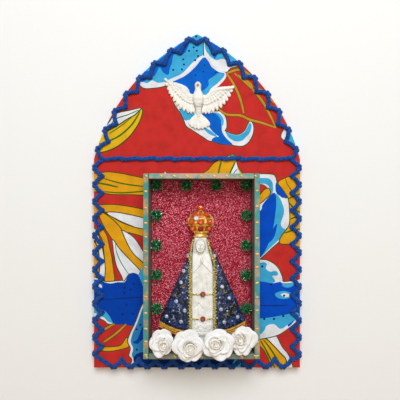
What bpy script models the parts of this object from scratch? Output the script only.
"""A chapel-shaped folk shrine that hangs on a wall: a laced, cloth-covered board with a box niche."""

import math

import bmesh
import bpy
from mathutils import Matrix, Vector

# All sizes are in metres: X to the right, Y into the wall, Z up. The origin lies on the wall side of
# the backing, at the middle of the board's width and height.
FIT = 0.0003  # gap left between pieces that are glued or laid against each other

# Niche: a shallow box glued to the cloth
NICHE_WIDTH = 0.0984
NICHE_HEIGHT = 0.1567
NICHE_DEPTH = 0.030
NICHE_WALL = 0.0045
NICHE_BACK = 0.003
NICHE_SHIFT = 0.0040  # the box sits a little to the right of the board's middle
NICHE_EDGE = 0.0004  # taken off the walls' edges
GLITTER_SHEET = 0.0015

# Board, cloth and backing
SIDE_MARGIN = 0.0435  # half of what the board is wider than the niche
BOTTOM_MARGIN = 0.017  # from the board's lower edge to the niche
STITCH_ABOVE_NICHE = 0.0147  # from the niche to the shoulders, where the stitched line runs
ARCH_RISE = 0.1126  # from the shoulders to the apex
ARCH_RADIUS = 0.176
BOARD_THICKNESS = 0.004
CLOTH = 0.0005
BACKING_THICKNESS = 0.004

# Lacing and stitching cord
CORD_DIAMETER = 0.0032
LACING_INSET = 0.0072  # from the board's edge to the lacing holes
LACING_HOLE = 0.0032
LACING_TIP = 0.0008  # the zigzag's inner tips stop this far short of their holes' middles
LACING_TURN = 0.0015  # half the width of the turn that the cord makes over the edge
HEM_MARGIN = 0.0038  # cloth turned over past the lacing holes
SIDE_CORNER = 0.011  # from the lower corners to the last turn on each side
BOTTOM_CORNER = 0.017  # from the left corner to the last turn on the lower edge
ARCH_STITCHES = 8
SIDE_STITCHES = 11
BOTTOM_STITCHES = 10
CROSS_STITCHES = 10
CROSS_SLANT = 0.0008  # each stitch of the line across climbs by twice this
CROSS_STEP = 0.0024  # length of the step down between two stitches
CROSS_HOLE = 0.0022

# Tinsel pom-poms round the niche
POMPOM_DIAMETER = 0.0093
POMPOM_ABOVE_HEM = 0.011  # the lowest ones stand this far above the mantle's corners
POMPOMS_ACROSS = 4
POMPOMS_DOWN = 5
POMPOM_LAST_GAP = 1.12  # spacing above the lowest ones, as a multiple of the spacing between the others

# Standing figure
HEADROOM = 0.022  # from the crown's top gem to the niche's ceiling
RIM_SETBACK = 0.0094  # from the niche's rim to the robe's front
PLINTH_WIDTH = 0.0224
PLINTH_HEIGHT = 0.0157
ROBE_WIDTH = 0.0174
ROBE_ROUNDING = 0.002
HOOD_WIDTH = 0.0106
HOOD_HEIGHT = 0.0125
HOOD_STEP = 0.0035  # the hood's front stands this far behind the robe's
SHOULDER_DROP = 0.010  # from the hood's foot to the robe's full width
HEAD_WIDTH = 0.0088
HEAD_DEPTH = 0.0052
MANTLE_TUCK = 0.0026  # the mantle reaches this far under the lowest pom-poms
MANTLE_DROP = 0.009  # from the crown to the mantle's upper point
MANTLE_RISE = 0.0065  # the mantle's outer corners stand this far above its inner ones
MANTLE_STEP = 0.001  # the mantle's inner edge stands this far behind the robe's front
MANTLE_EDGE = 0.005  # depth of the mantle at its outer corners
MANTLE_STEPS = 6
HEM_RIBBON = 0.0052
HEM_RIBBON_THICKNESS = 0.0016
BRAID_DIAMETER = 0.0034
ROBE_BAND = 0.001
ROBE_BAND_HEIGHTS = (0.0107, 0.0321)  # above the plinth
ROBE_GEM_DIAMETER = 0.0048
ROBE_GEM_HEIGHT = 0.002

# Crown
CROWN_BAND_WIDTH = 0.0126
CROWN_BAND_HEIGHT = 0.005
CROWN_WIDTH = 0.0238
CROWN_HEIGHT = 0.0229
CROWN_TOP_WIDTH = 0.006
CROWN_FULLNESS = 0.8  # below 1 the bulb swells more quickly from its ends
CROWN_LEVELS = 10
CROWN_SETBACK = 0.001  # the crown's front stands this far behind the robe's
CROWN_GEM_DIAMETER = 0.0036
CROWN_GEM_HEIGHT = 0.0014
TOP_GEM_DIAMETER = 0.0052
# Height above the crown's band, as a share of the bulb, and angle from the front, in degrees
RED_GEM_PLACES = (
    (0.80, -33), (0.80, 33), (0.46, -44), (0.46, 0), (0.46, 44), (0.13, -58), (0.13, 0), (0.13, 58),
)
CLEAR_GEM_PLACE = (0.64, -20)

# Paper roses on the niche's lower edge
ROSES = 4
ROSE_EDGE = 0.011  # from the niche's side walls to the middles of the outer roses
ROSE_SHIFT = 0.0018
ROSE_RAISE = 0.0085  # from the niche's floor to the roses' middles
ROSE_FOOT = 0.008  # diameter of a rose's foot
ROSE_REACH = 0.0036  # from the rim to the widest part of the outer roses
ROSE_STAGGER = 0.004  # the inner roses stand this much further out
ROSE_CROWN = 0.005  # from a rose's widest part to its front
ROSE_LOBE = 0.12  # share of its radius by which a rose's edge is drawn in between petals
ROSE_PETALS = 5
# From the widest part on: share of ROSE_CROWN, share of the radius, and whether the edge is drawn in
ROSE_FOLDS = ((0, 1, True), (0.6, 0.85, True), (0.3, 0.62, False), (0.9, 0.5, True), (1, 0.2, False))

# Plaster dove
DOVE_SPAN = 0.0646
DOVE_LENGTH = 0.0425
DOVE_BELOW_APEX = 0.0434
DOVE_SHIFT = 0.0012
DOVE_TILT = math.radians(4)
DOVE_WING = 0.003
DOVE_BODY = 0.008
# Width, as a share of the span, and height and raise of the middle, as shares of the length
DOVE_BODY_SHARES = (0.18, 0.6, 0.06)
DOVE_HEAD_SHARES = (0.12, 0.2, 0.38)
# Right half of the outline, as shares of half the span and of half the length, from head to tail
DOVE_OUTLINE = (
    (0.0, 1.0), (0.09, 0.82), (0.12, 0.6), (0.16, 0.42), (0.34, 0.70), (0.62, 0.80), (1.0, 0.81),
    (0.89, 0.35), (0.74, 0.07), (0.62, -0.12), (0.34, -0.31), (0.10, -0.38), (0.29, -0.83), (0.05, -1.0),
)

# Strap hanger on the back
HANGER_BELOW_APEX = 0.0564
HANGER_WIRE = 0.0016
HANGER_PLAY = 0.0003  # between the ring's wire and the strap's barrel
STRAP_SHEET = 0.0006
STRAP_WIDTH = 0.009
STRAP_LENGTH = 0.0105
STRAP_OPENING = math.radians(80)  # left open where the barrel is rolled
RING_WIDTH = 0.024
RING_HEIGHT = 0.024
RING_CORNER = 0.003
RECESS_MARGIN = 0.004  # round the ring, both hanging and turned up
NAIL_SHANK = 0.0012
NAIL_HEAD = 0.0034
NAIL_HEAD_TOP = 0.0022
NAIL_HEAD_HEIGHT = 0.0006
NAIL_LENGTH = 0.003  # of the shank in the board
NAIL_PITCH = 0.0044
NAIL_BELOW_BARREL = 0.0038

# Colour, roughness and metallic value of each finish
FINISHES = {
    "printed_cotton": ("C8322D", 0.85, 0.0),
    "fibreboard": ("9A7B56", 0.75, 0.0),
    "kraft_card": ("B08D62", 0.8, 0.0),
    "blue_cord": ("24469F", 0.8, 0.0),
    "verdigris_paint": ("6DA393", 0.6, 0.0),
    "crimson_glitter": ("A93D4D", 0.35, 0.3),
    "green_tinsel": ("1A5A2C", 0.4, 0.2),
    "white_enamel": ("E4E0D6", 0.5, 0.0),
    "navy_enamel": ("2C3150", 0.45, 0.0),
    "gold_braid": ("B59A58", 0.45, 0.7),
    "gold_ribbon": ("BE9238", 0.4, 0.7),
    "gilt_crown": ("CA9B43", 0.3, 1.0),
    "red_gem": ("DE5A26", 0.1, 0.0),
    "clear_gem": ("EDE8E4", 0.05, 0.0),
    "rose_paper": ("E7E4DE", 0.8, 0.0),
    "plaster": ("F0ECE0", 0.75, 0.0),
    "zinc_steel": ("A9ABAD", 0.35, 1.0),
}

# Places worked out from the sizes above
BOARD_WIDTH = NICHE_WIDTH + 2 * SIDE_MARGIN
SHOULDER_HEIGHT = BOTTOM_MARGIN + NICHE_HEIGHT + STITCH_ABOVE_NICHE
BOARD_HEIGHT = SHOULDER_HEIGHT + ARCH_RISE
BOARD_BOTTOM = -BOARD_HEIGHT / 2
APEX_Z = BOARD_HEIGHT / 2
SHOULDER_Z = BOARD_BOTTOM + SHOULDER_HEIGHT
COVER_GROW = FIT + CLOTH
HEM_WIDTH = LACING_INSET + LACING_HOLE / 2 + HEM_MARGIN
BOARD_BACK_Y = -BACKING_THICKNESS - FIT
BOARD_FRONT_Y = BOARD_BACK_Y - BOARD_THICKNESS
COVER_BACK_Y = BOARD_BACK_Y + COVER_GROW
COVER_FRONT_Y = BOARD_FRONT_Y - COVER_GROW
CORD_RADIUS = CORD_DIAMETER / 2

NICHE_BACK_Y = COVER_FRONT_Y - FIT
RIM_Y = NICHE_BACK_Y - NICHE_DEPTH
NICHE_BOTTOM_Z = BOARD_BOTTOM + BOTTOM_MARGIN
NICHE_TOP_Z = NICHE_BOTTOM_Z + NICHE_HEIGHT
FLOOR_Z = NICHE_BOTTOM_Z + NICHE_WALL
CEILING_Z = NICHE_TOP_Z - NICHE_WALL
NICHE_INNER_HALF = NICHE_WIDTH / 2 - NICHE_WALL
GLITTER_BACK_Y = NICHE_BACK_Y - NICHE_BACK - FIT
GLITTER_FRONT_Y = GLITTER_BACK_Y - GLITTER_SHEET

FIGURE_BACK_Y = GLITTER_FRONT_Y - FIT
ROBE_FRONT_Y = RIM_Y + RIM_SETBACK
PLINTH_TOP_Z = FLOOR_Z + FIT + PLINTH_HEIGHT
ROBE_BOTTOM_Z = PLINTH_TOP_Z + FIT
TOP_GEM_Z = CEILING_Z - HEADROOM - TOP_GEM_DIAMETER / 2
CROWN_TOP_Z = TOP_GEM_Z - TOP_GEM_DIAMETER / 2 - FIT
CROWN_BOTTOM_Z = CROWN_TOP_Z - CROWN_HEIGHT
HOOD_TOP_Z = CROWN_BOTTOM_Z - FIT
HOOD_FRONT_Y = ROBE_FRONT_Y + HOOD_STEP
MANTLE_TOP_Z = HOOD_TOP_Z - MANTLE_DROP
MANTLE_CORNER_Z = ROBE_BOTTOM_Z + MANTLE_RISE
MANTLE_HALF = NICHE_INNER_HALF - POMPOM_DIAMETER + MANTLE_TUCK
MANTLE_INNER = ROBE_WIDTH / 2 + FIT
ROSE_PITCH = 2 * (NICHE_INNER_HALF - ROSE_EDGE) / (ROSES - 1)
ROSE_RADIUS = (ROSE_PITCH - FIT) / 2

BARREL_BORE = HANGER_WIRE / 2 + HANGER_PLAY
BARREL_RADIUS = BARREL_BORE + STRAP_SHEET
HANGER_Y = BOARD_BACK_Y + FIT + BARREL_RADIUS
HANGER_Z = APEX_Z - HANGER_BELOW_APEX

ARCH_STEPS = 14
HOLE_SIDES = 6
TUBE_RESOLUTION = 1  # six sides on the cords
WIRE_RESOLUTION = 2
TURNED_STEPS = 16
ROSE_POINTS = 15
GEM_SIDES = 8


def linear(hex_colour):
    """An sRGB hex colour as linear RGB."""
    shares = [int(hex_colour[i : i + 2], 16) / 255 for i in (0, 2, 4)]
    return [c / 12.92 if c <= 0.04045 else ((c + 0.055) / 1.055) ** 2.4 for c in shares]


def make_material(name):
    colour, roughness, metallic = FINISHES[name]
    made = bpy.data.materials.new(name)
    made.use_nodes = True
    shader = made.node_tree.nodes["Principled BSDF"]
    shader.inputs["Base Color"].default_value = (*linear(colour), 1)
    shader.inputs["Roughness"].default_value = roughness
    shader.inputs["Metallic"].default_value = metallic
    return made


def make_collection(name):
    made = bpy.data.collections.new(name)
    bpy.context.scene.collection.children.link(made)
    return made


for leftover in list(bpy.data.objects):
    bpy.data.objects.remove(leftover, do_unlink=True)
MATERIALS = {name: make_material(name) for name in FINISHES}
SHRINE = make_collection("chapel_shrine")
CUTTERS = make_collection("cutters")


def add(name, data, finish, place=(0, 0, 0), turn=(0, 0, 0)):
    """A part of the shrine, with its finish."""
    made = bpy.data.objects.new(name, data)
    made.location = place
    made.rotation_euler = turn
    data.materials.append(MATERIALS[finish])
    SHRINE.objects.link(made)
    return made


def mesh_of(shape, name, smooth=False):
    """A mesh from a bmesh, facing outwards."""
    bmesh.ops.recalc_face_normals(shape, faces=shape.faces)
    made = bpy.data.meshes.new(name)
    shape.to_mesh(made)
    shape.free()
    if smooth:
        made.shade_smooth()
        made.set_sharp_from_angle(angle=math.radians(40))
    return made


def block(name, low, high, finish, rounding=0.0):
    """A box between two corners, with its edges rounded."""
    low = Vector(low)
    high = Vector(high)
    shape = bmesh.new()
    size = Matrix.Diagonal((*(high - low), 1))
    bmesh.ops.create_cube(shape, size=1, matrix=size)
    made = add(name, mesh_of(shape, name), finish, (low + high) / 2)
    if rounding:
        bevel = made.modifiers.new("rounded_edges", "BEVEL")
        bevel.width = rounding
        bevel.segments = 1
    return made


def outline_curve(name, loops, thickness):
    """A flat curve: its first loop is the outline and the others are holes."""
    curve = bpy.data.curves.new(name, "CURVE")
    curve.dimensions = "2D"
    curve.fill_mode = "BOTH"
    curve.extrude = thickness / 2
    for loop in loops:
        spline = curve.splines.new("POLY")
        spline.points.add(len(loop) - 1)
        spline.use_cyclic_u = True
        for point, (x, z) in zip(spline.points, loop):
            point.co = (x, z, 0, 1)
    return curve


UPRIGHT = (math.pi / 2, 0, 0)  # stands a flat curve up, facing the viewer


def plate(name, loops, back, front, finish):
    """A plate of that outline, upright, between two Y places."""
    curve = outline_curve(name, loops, back - front)
    return add(name, curve, finish, (0, (back + front) / 2, 0), UPRIGHT)


def as_mesh(obj):
    """The same part as a mesh, welded, so that it can be cut."""
    bpy.context.view_layer.update()
    graph = bpy.context.evaluated_depsgraph_get()
    mesh = bpy.data.meshes.new_from_object(obj.evaluated_get(graph))
    shape = bmesh.new()
    shape.from_mesh(mesh)
    bmesh.ops.remove_doubles(shape, verts=shape.verts, dist=FIT / 100)
    bmesh.ops.recalc_face_normals(shape, faces=shape.faces)
    shape.to_mesh(mesh)
    shape.free()
    name = obj.name
    place = obj.matrix_world.copy()
    bpy.data.objects.remove(obj)
    made = bpy.data.objects.new(name, mesh)
    made.matrix_world = place
    SHRINE.objects.link(made)
    return made


def combine(obj, other, operation):
    """Cuts the other shape out of a part, or joins it on, and keeps it as a hidden helper."""
    for owner in list(other.users_collection):
        owner.objects.unlink(other)
    CUTTERS.objects.link(other)
    other.hide_render = True
    other.display_type = "WIRE"
    step = obj.modifiers.new(other.name, "BOOLEAN")
    step.operation = operation
    step.object = other


def tube(name, points, radius, finish, closed=False, resolution=TUBE_RESOLUTION, place=(0, 0, 0)):
    curve = bpy.data.curves.new(name, "CURVE")
    curve.dimensions = "3D"
    curve.bevel_depth = radius
    curve.bevel_resolution = resolution
    curve.use_fill_caps = not closed
    spline = curve.splines.new("POLY")
    spline.points.add(len(points) - 1)
    spline.use_cyclic_u = closed
    for point, co in zip(spline.points, points):
        point.co = (*co, 1)
    return add(name, curve, finish, place)


def loft(name, rings, finish, smooth=True):
    """A closed skin over rings that have the same number of points."""
    shape = bmesh.new()
    rows = [[shape.verts.new(p) for p in ring] for ring in rings]
    count = len(rows[0])
    for lower, upper in zip(rows, rows[1:]):
        for i in range(count):
            j = (i + 1) % count
            shape.faces.new((lower[i], lower[j], upper[j], upper[i]))
    shape.faces.new(rows[0])
    shape.faces.new(rows[-1])
    return add(name, mesh_of(shape, name, smooth), finish)


def ball(name, size, place, finish, segments=12):
    """A sphere stretched to that size."""
    shape = bmesh.new()
    stretch = Matrix.Diagonal((*(s / 2 for s in size), 1))
    bmesh.ops.create_uvsphere(
        shape, u_segments=segments, v_segments=segments // 2, radius=1, matrix=stretch
    )
    return add(name, mesh_of(shape, name, smooth=True), finish, place)


def gem(name, diameter, height, place, normal, finish):
    """A flat-backed stone, cut like a low cone, standing on a surface."""
    shape = bmesh.new()
    bmesh.ops.create_cone(
        shape, cap_ends=True, segments=GEM_SIDES, depth=height, radius1=diameter / 2, radius2=diameter / 4,
    )
    bmesh.ops.translate(shape, verts=shape.verts, vec=(0, 0, height / 2))
    made = add(name, mesh_of(shape, name), finish, place)
    made.rotation_euler = Vector(normal).to_track_quat("Z", "Y").to_euler()
    return made


def circle(centre, diameter, sides):
    """The corners of a round hole in a flat outline."""
    radius = diameter / 2
    turns = [2 * math.pi * i / sides for i in range(sides)]
    return [(centre[0] + radius * math.cos(t), centre[1] + radius * math.sin(t)) for t in turns]


# Board outline

def arch_centre():
    """Centre of the right-hand arc, which runs from the right shoulder to the apex."""
    shoulder = Vector((BOARD_WIDTH / 2, SHOULDER_Z))
    apex = Vector((0, APEX_Z))
    half_chord = (apex - shoulder) / 2
    outward = Vector((half_chord.y, -half_chord.x)).normalized()
    return (shoulder + apex) / 2 - outward * math.sqrt(ARCH_RADIUS**2 - half_chord.length_squared)


ARCH = arch_centre()


def arch_place(grow, share):
    """Point and outward direction on the right arc, from the shoulder (0) to the apex (1)."""
    radius = ARCH_RADIUS + grow
    start = math.acos((BOARD_WIDTH / 2 + grow - ARCH.x) / radius)
    end = math.acos(-ARCH.x / radius)
    angle = start + (end - start) * share
    outward = Vector((math.cos(angle), math.sin(angle)))
    return ARCH + radius * outward, outward


def board_outline(grow):
    """The board's outline, grown outwards by that much."""
    right = [Vector((BOARD_WIDTH / 2 + grow, BOARD_BOTTOM - grow))]
    right += [arch_place(grow, i / ARCH_STEPS)[0] for i in range(ARCH_STEPS)]
    left = [Vector((-p.x, p.y)) for p in reversed(right)]
    return right + [arch_place(grow, 1)[0]] + left


# Lacing

def mirrored(stops):
    """The same stops on the other side, in the opposite order."""
    flip = Vector((-1, 1))
    return [(kind, point * flip, outward * flip) for kind, point, outward in reversed(stops)]


def lacing_stops():
    """Holes and turns over the edge, clockwise from the apex: what it is, its point and the way out."""
    down = []
    for step in reversed(range(ARCH_STITCHES)):
        down.append(("turn", *arch_place(COVER_GROW, (step + 0.5) / ARCH_STITCHES)))
        down.append(("hole", *arch_place(-LACING_INSET, step / ARCH_STITCHES)))
    right = Vector((1, 0))
    half = BOARD_WIDTH / 2
    pitch = (SHOULDER_HEIGHT - SIDE_CORNER) / (SIDE_STITCHES + 0.5)
    for step in range(SIDE_STITCHES + 1):
        down.append(("turn", Vector((half + COVER_GROW, SHOULDER_Z - (step + 0.5) * pitch)), right))
        if step < SIDE_STITCHES:
            down.append(("hole", Vector((half - LACING_INSET, SHOULDER_Z - (step + 1) * pitch)), right))
    across = []
    below = Vector((0, -1))
    first = half - LACING_INSET
    pitch = (first + half - BOTTOM_CORNER) / (BOTTOM_STITCHES + 0.5)
    for step in range(BOTTOM_STITCHES + 1):
        out = below if step else Vector((1, -1)).normalized()
        across.append(("hole", Vector((first - step * pitch, BOARD_BOTTOM + LACING_INSET)), out))
        across.append(("turn", Vector((first - (step + 0.5) * pitch, BOARD_BOTTOM - COVER_GROW)), below))
    apex = ("hole", arch_place(-LACING_INSET, 1)[0], Vector((0, 1)))
    return [apex, *down, *across, *mirrored(down)]


LACING = lacing_stops()
TURN_START = math.radians(60)
TURN_END = math.radians(10)


def lacing_points(face_y, side):
    """The cord's middle line on one face of the covered board; side is -1 in front and 1 at the back."""
    clear = CORD_RADIUS + FIT
    swing = clear / math.cos((TURN_START + TURN_END) / 2)
    points = []
    for kind, point, outward in LACING:
        if kind == "hole":
            tip = point + outward * LACING_TIP
            points.append((tip.x, face_y + side * clear, tip.y))
            continue
        along = Vector((outward.y, -outward.x)) * LACING_TURN
        over = point + outward * swing * math.cos(TURN_START)
        far = point + outward * swing * math.cos(TURN_END)
        over_y = face_y + side * swing * math.sin(TURN_START)
        far_y = face_y - side * swing * math.sin(TURN_END)
        points.append(((over - along).x, over_y, (over - along).y))
        points.append((far.x, far_y, far.y))
        points.append(((over + along).x, over_y, (over + along).y))
    return points


def cross_stitch_places():
    """X places of the stitched line's holes, from left to right."""
    reach = arch_place(-LACING_INSET, 0)[0].x - 2 * CORD_DIAMETER
    return [reach * (2 * i / CROSS_STITCHES - 1) for i in range(CROSS_STITCHES + 1)]


def make_lacing():
    tube("edge_lacing_front", lacing_points(COVER_FRONT_Y, -1), CORD_RADIUS, "blue_cord", closed=True)
    tube("edge_lacing_back", lacing_points(COVER_BACK_Y, 1), CORD_RADIUS, "blue_cord", closed=True)
    y = COVER_FRONT_Y - FIT - CORD_RADIUS
    points = []
    places = cross_stitch_places()
    for left, right in zip(places, places[1:]):
        points.append((left + CROSS_STEP / 2, y, SHOULDER_Z - CROSS_SLANT))
        points.append((right - CROSS_STEP / 2, y, SHOULDER_Z + CROSS_SLANT))
    tube("cross_stitching", points, CORD_RADIUS, "blue_cord")


# Board, cloth and backing

def make_board():
    laced = [circle(p, LACING_HOLE, HOLE_SIDES) for kind, p, _ in LACING if kind == "hole"]
    stitched = [circle((x, SHOULDER_Z), CROSS_HOLE, HOLE_SIDES) for x in cross_stitch_places()[1:-1]]
    nailed = [circle((0, z), NAIL_SHANK + 2 * FIT, HOLE_SIDES) for z in nail_heights()]
    board = [board_outline(0), *laced, *stitched, *nailed]
    plate("back_board", board, BOARD_BACK_Y, BOARD_FRONT_Y, "fibreboard")
    make_cover(laced, stitched)
    backing = [board_outline(-HEM_WIDTH - FIT), recess_outline()]
    plate("backing_board", backing, 0, -BACKING_THICKNESS, "kraft_card")


def make_cover(laced, stitched):
    """Cloth over the board's front and edges, with its hem on the back, as one skin."""
    edge = board_outline(FIT)
    front_y = BOARD_FRONT_Y - FIT
    back_y = BOARD_BACK_Y + FIT
    front = plate("cloth_front", [edge, *laced, *stitched], front_y, front_y, "printed_cotton")
    hem = plate("cloth_hem", [edge, board_outline(-HEM_WIDTH), *laced], back_y, back_y, "printed_cotton")
    skin = bmesh.new()
    for flat in (as_mesh(front), as_mesh(hem)):
        start = len(skin.verts)
        skin.from_mesh(flat.data)
        skin.verts.ensure_lookup_table()
        bmesh.ops.transform(skin, matrix=flat.matrix_world, verts=skin.verts[start:])
        bpy.data.objects.remove(flat)
    front_edge = [skin.verts.new((p.x, front_y, p.y)) for p in edge]
    back_edge = [skin.verts.new((p.x, back_y, p.y)) for p in edge]
    for i in range(len(edge)):
        skin.faces.new((front_edge[i - 1], front_edge[i], back_edge[i], back_edge[i - 1]))
    bmesh.ops.remove_doubles(skin, verts=skin.verts, dist=FIT / 100)
    cover = add("fabric_cover", mesh_of(skin, "fabric_cover"), "printed_cotton")
    thick = cover.modifiers.new("cloth", "SOLIDIFY")
    thick.thickness = CLOTH
    thick.offset = 1


def recess_outline():
    """The backing's cut-out, with room for the hanger's ring both down and up."""
    half = RING_WIDTH / 2 + RECESS_MARGIN
    reach = RING_HEIGHT + RECESS_MARGIN
    low = HANGER_Z - reach
    high = HANGER_Z + reach
    return [(-half, low), (half, low), (half, high), (-half, high)]


# Niche

def make_niche():
    """Four walls, of which the side ones run past the others, then the back panel and glitter sheet."""
    half = NICHE_WIDTH / 2
    inner = (FIT - NICHE_INNER_HALF, NICHE_INNER_HALF - FIT)
    walls = (RIM_Y, NICHE_BACK_Y)
    panel = (NICHE_BACK_Y - NICHE_BACK, NICHE_BACK_Y)
    sheet = (GLITTER_FRONT_Y, GLITTER_BACK_Y)
    tall = (NICHE_BOTTOM_Z, NICHE_TOP_Z)
    inside = (FLOOR_Z + FIT, CEILING_Z - FIT)
    paint = "verdigris_paint"
    # Name, X places from the niche's middle, Y places, Z places, finish and what is taken off the edges
    boxes = (
        ("niche_left_wall", (-half, -NICHE_INNER_HALF), walls, tall, paint, NICHE_EDGE),
        ("niche_right_wall", (NICHE_INNER_HALF, half), walls, tall, paint, NICHE_EDGE),
        ("niche_top_wall", inner, walls, (CEILING_Z, NICHE_TOP_Z), paint, NICHE_EDGE),
        ("niche_bottom_wall", inner, walls, (NICHE_BOTTOM_Z, FLOOR_Z), paint, NICHE_EDGE),
        ("niche_back", inner, panel, inside, "fibreboard", 0),
        ("glitter_sheet", inner, sheet, inside, "crimson_glitter", 0),
    )
    for name, across, deep, high, finish, edge in boxes:
        low_corner = (NICHE_SHIFT + across[0], deep[0], high[0])
        high_corner = (NICHE_SHIFT + across[1], deep[1], high[1])
        block(name, low_corner, high_corner, finish, edge)


def make_pompoms():
    radius = POMPOM_DIAMETER / 2
    side = NICHE_INNER_HALF - FIT - radius
    top = CEILING_Z - FIT - radius
    lowest = MANTLE_CORNER_Z + POMPOM_ABOVE_HEM
    pitch = (top - lowest) / (POMPOMS_DOWN - 2 + POMPOM_LAST_GAP)
    rows = [top - i * pitch for i in range(POMPOMS_DOWN - 1)] + [lowest]
    places = [(side * (2 * i / (POMPOMS_ACROSS - 1) - 1), top) for i in range(POMPOMS_ACROSS)]
    for z in rows[1:]:
        places += [(-side, z), (side, z)]
    for number, (x, z) in enumerate(places, 1):
        place = (NICHE_SHIFT + x, GLITTER_FRONT_Y - FIT - radius, z)
        ball(f"pompom_{number:02}", (POMPOM_DIAMETER,) * 3, place, "green_tinsel", segments=10)


# Figure

def robe_ring(half, front, z):
    """One level of the robe: flat at the back, with the front's two edges cut off."""
    x = NICHE_SHIFT
    cut = ROBE_ROUNDING
    return [
        (x - half, FIGURE_BACK_Y, z), (x + half, FIGURE_BACK_Y, z), (x + half, front + cut, z),
        (x + half - cut, front, z), (x - half + cut, front, z), (x - half, front + cut, z),
    ]


def make_robe():
    half = ROBE_WIDTH / 2
    hood = HOOD_WIDTH / 2
    foot = HOOD_TOP_Z - HOOD_HEIGHT
    neck = (half + hood) / 2
    rings = [
        robe_ring(half, ROBE_FRONT_Y, ROBE_BOTTOM_Z),
        robe_ring(half, ROBE_FRONT_Y, foot - SHOULDER_DROP),
        robe_ring(neck, ROBE_FRONT_Y + HOOD_STEP / 4, foot - HOOD_STEP / 2),
        robe_ring(neck, HOOD_FRONT_Y, foot),
        robe_ring(hood, HOOD_FRONT_Y, HOOD_TOP_Z),
    ]
    loft("figure_robe", rings, "white_enamel", smooth=False)
    x = NICHE_SHIFT
    low = (x - PLINTH_WIDTH / 2, ROBE_FRONT_Y, FLOOR_Z + FIT)
    high = (x + PLINTH_WIDTH / 2, FIGURE_BACK_Y, PLINTH_TOP_Z)
    block("figure_plinth", low, high, "white_enamel", ROBE_ROUNDING / 2)
    head_y = HOOD_FRONT_Y - FIT - HEAD_DEPTH / 2
    head_size = (HEAD_WIDTH, HEAD_DEPTH, HOOD_HEIGHT - 2 * FIT)
    ball("figure_head", head_size, (x, head_y, HOOD_TOP_Z - HOOD_HEIGHT / 2), "white_enamel")


def mantle_place(share):
    """X from the figure's middle, front Y, upper and lower Z of the mantle, from robe (0) to corner (1)."""
    x = MANTLE_INNER + (MANTLE_HALF - MANTLE_INNER) * share
    depth = FIGURE_BACK_Y - ROBE_FRONT_Y - MANTLE_STEP
    front = FIGURE_BACK_Y - MANTLE_EDGE - (depth - MANTLE_EDGE) * math.cos(share * math.pi / 2)
    upper = MANTLE_TOP_Z + (MANTLE_CORNER_Z + MANTLE_EDGE / 4 - MANTLE_TOP_Z) * share
    lower = ROBE_BOTTOM_Z + MANTLE_RISE * share**2
    return x, front, upper, lower


def make_mantle(side, name):
    """One half of the mantle with its hem ribbon; side is -1 on the left and 1 on the right."""
    rings = []
    ribbon = []
    for step in range(MANTLE_STEPS + 1):
        out, front, upper, lower = mantle_place(step / MANTLE_STEPS)
        x = NICHE_SHIFT + side * out
        back = FIGURE_BACK_Y
        rings.append([(x, back, lower), (x, front, lower), (x, front, upper), (x, back, upper)])
        if out < PLINTH_WIDTH / 2 + HEM_RIBBON_THICKNESS:
            continue
        high = lower - FIT
        low = high - HEM_RIBBON
        inner = front + HEM_RIBBON_THICKNESS
        ribbon.append([(x, inner, low), (x, front, low), (x, front, high), (x, inner, high)])
    loft(f"mantle_{name}", rings, "navy_enamel", smooth=False)
    loft(f"hem_ribbon_{name}", ribbon, "gold_ribbon", smooth=False)


def make_braid(side, name):
    """The braid down one side of the robe, from the crown to the hem."""
    radius = BRAID_DIAMETER / 2
    front = ROBE_FRONT_Y + MANTLE_STEP - FIT - radius
    out = ROBE_WIDTH / 2 + FIT + radius
    hood_out = HOOD_WIDTH / 2 + 2 * FIT + radius
    foot = HOOD_TOP_Z - HOOD_HEIGHT
    route = [
        (hood_out, HOOD_FRONT_Y - FIT - radius, HOOD_TOP_Z - radius),
        ((out + hood_out) / 2, front, MANTLE_TOP_Z + radius),
        (out, front, foot - SHOULDER_DROP),
        (out, front, ROBE_BOTTOM_Z),
    ]
    points = [(NICHE_SHIFT + side * x, y, z) for x, y, z in route]
    tube(f"braid_{name}", points, radius, "gold_braid", resolution=WIRE_RESOLUTION)


def make_robe_trims():
    names = ("lower", "upper")
    half = ROBE_WIDTH / 2 - ROBE_ROUNDING
    for name, height in zip(names, ROBE_BAND_HEIGHTS):
        z = ROBE_BOTTOM_Z + height
        y = ROBE_FRONT_Y - FIT - ROBE_BAND / 2
        ends = [(NICHE_SHIFT - half, y, z), (NICHE_SHIFT + half, y, z)]
        tube(f"robe_band_{name}", ends, ROBE_BAND / 2, "gold_braid")
        place = (NICHE_SHIFT, ROBE_FRONT_Y - ROBE_BAND - 2 * FIT, z)
        gem(f"robe_gem_{name}", ROBE_GEM_DIAMETER, ROBE_GEM_HEIGHT, place, (0, -1, 0), "red_gem")


# Crown

CROWN_FRONT_Y = ROBE_FRONT_Y + CROWN_SETBACK
CROWN_Y = (FIGURE_BACK_Y + CROWN_FRONT_Y) / 2
CROWN_FLATNESS = (FIGURE_BACK_Y - CROWN_FRONT_Y) / CROWN_WIDTH


def crown_radius(share):
    """Radius of the crown's bulb, from its band (0) to its top (1)."""
    foot = CROWN_BAND_WIDTH / 2
    swell = CROWN_WIDTH / 2 - (foot + CROWN_TOP_WIDTH / 2) / 2
    return foot + (CROWN_TOP_WIDTH / 2 - foot) * share + swell * math.sin(math.pi * share) ** CROWN_FULLNESS


def crown_surface(share, angle):
    """A point of the bulb's surface, turned by that angle from the front."""
    height = CROWN_BAND_HEIGHT + (CROWN_HEIGHT - CROWN_BAND_HEIGHT) * share
    radius = crown_radius(share)
    x = NICHE_SHIFT + radius * math.sin(angle)
    return Vector((x, CROWN_Y - CROWN_FLATNESS * radius * math.cos(angle), CROWN_BOTTOM_Z + height))


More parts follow.
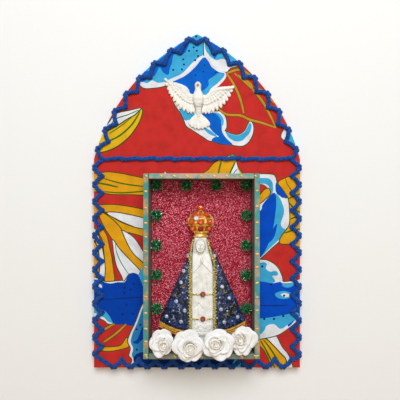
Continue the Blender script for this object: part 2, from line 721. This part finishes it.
def crown_gem(name, share, degrees, finish):
    """A stone standing on the bulb, square to its surface."""
    angle = math.radians(degrees)
    small = 0.02
    rise = crown_surface(share + small, angle) - crown_surface(share - small, angle)
    turn = crown_surface(share, angle + small) - crown_surface(share, angle - small)
    normal = turn.cross(rise).normalized()
    place = crown_surface(share, angle) + normal * FIT
    gem(name, CROWN_GEM_DIAMETER, CROWN_GEM_HEIGHT, place, normal, finish)


def make_crown():
    profile = [(0, CROWN_HEIGHT)]
    bulb = CROWN_HEIGHT - CROWN_BAND_HEIGHT
    for step in range(CROWN_LEVELS + 1):
        share = 1 - step / CROWN_LEVELS
        profile.append((crown_radius(share), CROWN_BAND_HEIGHT + bulb * share))
    profile += [(CROWN_BAND_WIDTH / 2, 0), (0, 0)]
    shape = bmesh.new()
    corners = [shape.verts.new((r, 0, z)) for r, z in profile]
    for start, end in zip(corners, corners[1:]):
        shape.edges.new((start, end))
    mesh = bpy.data.meshes.new("crown")
    shape.to_mesh(mesh)
    shape.free()
    crown = add("crown", mesh, "gilt_crown", (NICHE_SHIFT, CROWN_Y, CROWN_BOTTOM_Z))
    crown.scale = (1, CROWN_FLATNESS, 1)
    turned = crown.modifiers.new("turned", "SCREW")
    turned.steps = TURNED_STEPS
    turned.render_steps = TURNED_STEPS
    turned.use_merge_vertices = True
    turned.merge_threshold = FIT / 10
    for number, (share, degrees) in enumerate(RED_GEM_PLACES, 1):
        crown_gem(f"crown_gem_{number:02}", share, degrees, "red_gem")
    crown_gem("crown_clear_gem", *CLEAR_GEM_PLACE, "clear_gem")
    place = (NICHE_SHIFT, CROWN_Y, TOP_GEM_Z)
    ball("crown_top_gem", (TOP_GEM_DIAMETER,) * 3, place, "red_gem", segments=8)


# Roses

def rose_ring(x, y, radius, drawn):
    """One level of a rose, with its edge drawn in between the petals."""
    ring = []
    for i in range(ROSE_POINTS):
        angle = 2 * math.pi * i / ROSE_POINTS
        lobe = 1 - drawn * (1 - math.cos(ROSE_PETALS * angle)) / 2
        z = FLOOR_Z + ROSE_RAISE + radius * lobe * math.sin(angle)
        ring.append((x + radius * lobe * math.cos(angle), y, z))
    return ring


def make_rose(number):
    """A rose that stands on the niche's floor and opens over its rim."""
    middle = (ROSES + 1) / 2
    x = NICHE_SHIFT + ROSE_SHIFT + (number - middle) * ROSE_PITCH
    forward = ROSE_STAGGER if abs(number - middle) < 1 else 0
    widest = RIM_Y - ROSE_REACH - forward
    seat = ROSE_RAISE - FIT
    levels = [(ROBE_FRONT_Y - FIT, ROSE_FOOT / 2, 0), (RIM_Y - FIT, seat, 0)]
    for ahead, share, drawn_in in ROSE_FOLDS:
        levels.append((widest - ahead * ROSE_CROWN, share * ROSE_RADIUS, ROSE_LOBE if drawn_in else 0))
    rings = [rose_ring(x, y, radius, drawn) for y, radius, drawn in levels]
    loft(f"rose_{number}", rings, "rose_paper", smooth=False)


# Dove

def make_dove():
    half_span = DOVE_SPAN / 2
    half_length = DOVE_LENGTH / 2
    right = [(x * half_span, z * half_length) for x, z in DOVE_OUTLINE]
    left = [(-x, z) for x, z in reversed(right) if x]
    back = COVER_FRONT_Y - FIT
    z = APEX_Z - DOVE_BELOW_APEX - half_length
    wings = as_mesh(plate("dove", [right + left], back, back - DOVE_WING, "plaster"))
    spin = Matrix.Translation((DOVE_SHIFT, 0, z)) @ Matrix.Rotation(DOVE_TILT, 4, "Y")
    wings.matrix_world = spin @ wings.matrix_world
    swellings = (("dove_body", DOVE_BODY_SHARES, 0), ("dove_head", DOVE_HEAD_SHARES, FIT))
    for name, (width, height, lift), forward in swellings:
        swelling = ball(name, (width * DOVE_SPAN, DOVE_BODY, height * DOVE_LENGTH), (0, 0, 0), "plaster")
        middle = (0, back - DOVE_BODY / 2 - forward, lift * DOVE_LENGTH)
        swelling.matrix_world = spin @ Matrix.Translation(middle)
        combine(wings, swelling, "UNION")


# Hanger

def nail_heights():
    return [HANGER_Z - NAIL_BELOW_BARREL - i * NAIL_PITCH for i in range(2)]


def strap_outline():
    """Side view of the strap: a flat tail that rolls round the ring's wire, as (Z, Y) places."""
    middle = (BARREL_BORE + BARREL_RADIUS) / 2
    sheet = STRAP_SHEET / 2
    sweep = 2 * math.pi - STRAP_OPENING
    line = [((-STRAP_LENGTH, -middle), (0, -1))]
    for i in range(TURNED_STEPS + 1):
        angle = -math.pi / 2 + sweep * i / TURNED_STEPS
        away = (math.cos(angle), math.sin(angle))
        line.append(((middle * away[0], middle * away[1]), away))
    outer = [(p[0] + sheet * a[0], p[1] + sheet * a[1]) for p, a in line]
    inner = [(p[0] - sheet * a[0], p[1] - sheet * a[1]) for p, a in line]
    return outer + inner[::-1]


def make_nail(name, z):
    """A round-headed nail through the strap into the board."""
    strap_back = BOARD_BACK_Y + FIT + STRAP_SHEET
    shape = bmesh.new()
    length = FIT + STRAP_SHEET + FIT + NAIL_LENGTH
    shank = Matrix.Translation((0, 0, -length / 2))
    radius = NAIL_SHANK / 2
    bmesh.ops.create_cone(
        shape, cap_ends=True, segments=GEM_SIDES, depth=length,
        radius1=radius, radius2=radius, matrix=shank,
    )
    made = add(name, mesh_of(shape, name), "zinc_steel", (0, strap_back + FIT, z), (-math.pi / 2, 0, 0))
    cap = bmesh.new()
    overlap = FIT / 2
    height = NAIL_HEAD_HEIGHT + overlap
    bmesh.ops.create_cone(
        cap, cap_ends=True, segments=GEM_SIDES, depth=height,
        radius1=NAIL_HEAD / 2, radius2=NAIL_HEAD_TOP / 2,
        matrix=Matrix.Translation((0, 0, height / 2 - overlap)),
    )
    head = add(f"{name}_head", mesh_of(cap, name), "zinc_steel", made.location, made.rotation_euler)
    combine(made, head, "UNION")


def rounded(corners, cut):
    """A closed line through those corners, each bent over that length instead of sharp."""
    line = []
    for i, corner in enumerate(corners):
        before = corner + (corners[i - 1] - corner).normalized() * cut
        after = corner + (corners[(i + 1) % len(corners)] - corner).normalized() * cut
        line += [before, (before + 2 * corner + after) / 4, after]
    return line


def make_hanger():
    strap = outline_curve("hanger_strap", [strap_outline()], STRAP_WIDTH)
    # The outline's X runs up the wall and its Y into it
    stand = Matrix(((0, 0, 1, 0), (0, 1, 0, HANGER_Y), (1, 0, 0, HANGER_Z), (0, 0, 0, 1)))
    strap = add("hanger_strap", strap, "zinc_steel")
    strap.matrix_world = stand
    strap = as_mesh(strap)
    names = ("hanger_nail_upper", "hanger_nail_lower")
    for name, z in zip(names, nail_heights()):
        shape = bmesh.new()
        bmesh.ops.create_cone(
            shape, cap_ends=True, segments=GEM_SIDES, depth=4 * STRAP_SHEET,
            radius1=NAIL_SHANK / 2 + FIT, radius2=NAIL_SHANK / 2 + FIT,
        )
        hole_y = BOARD_BACK_Y + FIT + STRAP_SHEET / 2
        hole = add(f"{name}_hole", mesh_of(shape, name), "zinc_steel", (0, hole_y, z), UPRIGHT)
        combine(strap, hole, "DIFFERENCE")
        make_nail(name, z)
    corners = [Vector((RING_WIDTH / 2, 0)), Vector((0, -RING_HEIGHT)), Vector((-RING_WIDTH / 2, 0))]
    points = [(p.x, 0, p.y) for p in rounded(corners, RING_CORNER)]
    place = (0, HANGER_Y, HANGER_Z)
    tube("hanger_ring", points, HANGER_WIRE / 2, "zinc_steel", True, WIRE_RESOLUTION, place)


make_board()
make_lacing()
make_niche()
make_pompoms()
make_robe()
for half_side, half_name in ((-1, "left"), (1, "right")):
    make_mantle(half_side, half_name)
    make_braid(half_side, half_name)
make_robe_trims()
make_crown()
for rose_number in range(1, ROSES + 1):
    make_rose(rose_number)
make_dove()
make_hanger()
